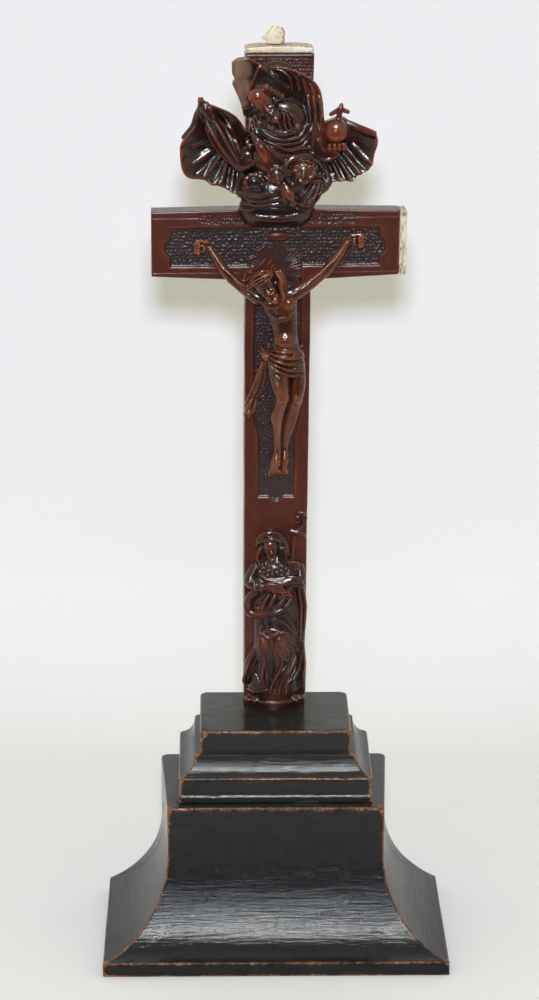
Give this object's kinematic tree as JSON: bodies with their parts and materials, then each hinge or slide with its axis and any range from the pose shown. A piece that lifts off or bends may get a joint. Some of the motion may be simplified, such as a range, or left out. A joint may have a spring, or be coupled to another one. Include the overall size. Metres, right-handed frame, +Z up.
{
  "type": "reliquary cross",
  "caption": "Carved wooden altar cross with crucified figure, figure group above, standing saint at the foot, bone end caps and a stepped ebonised pedestal.",
  "frame": {"origin": "middle of the pedestal's underside", "axes": "+Z up, +X to the right of someone facing the front, +Y towards the flat back"},
  "size_m": [0.11, 0.065, 0.2919],
  "materials": {
    "ebonised_wood": "black lacquer over wood, glossy, worn to orange-brown along its edges",
    "red_wood": "close-grained wood with a glossy reddish-brown varnish, dark in the punched ground",
    "golden_wood": "close-grained wood with a glossy orange-brown varnish, worn lighter on high spots",
    "dark_red_wood": "close-grained wood with a thick dark red varnish, orange where rubbed",
    "bone": null
  },
  "bodies": {
    "root": {"pedestal_base": "ebonised_wood", "pedestal_step": "ebonised_wood", "cross_body": "red_wood", "corpus": "golden_wood", "father_group": "dark_red_wood", "bone_cap_top": "bone", "bone_cap_right": "bone", "finial_stump": "bone"}
  },
  "joints": []
}
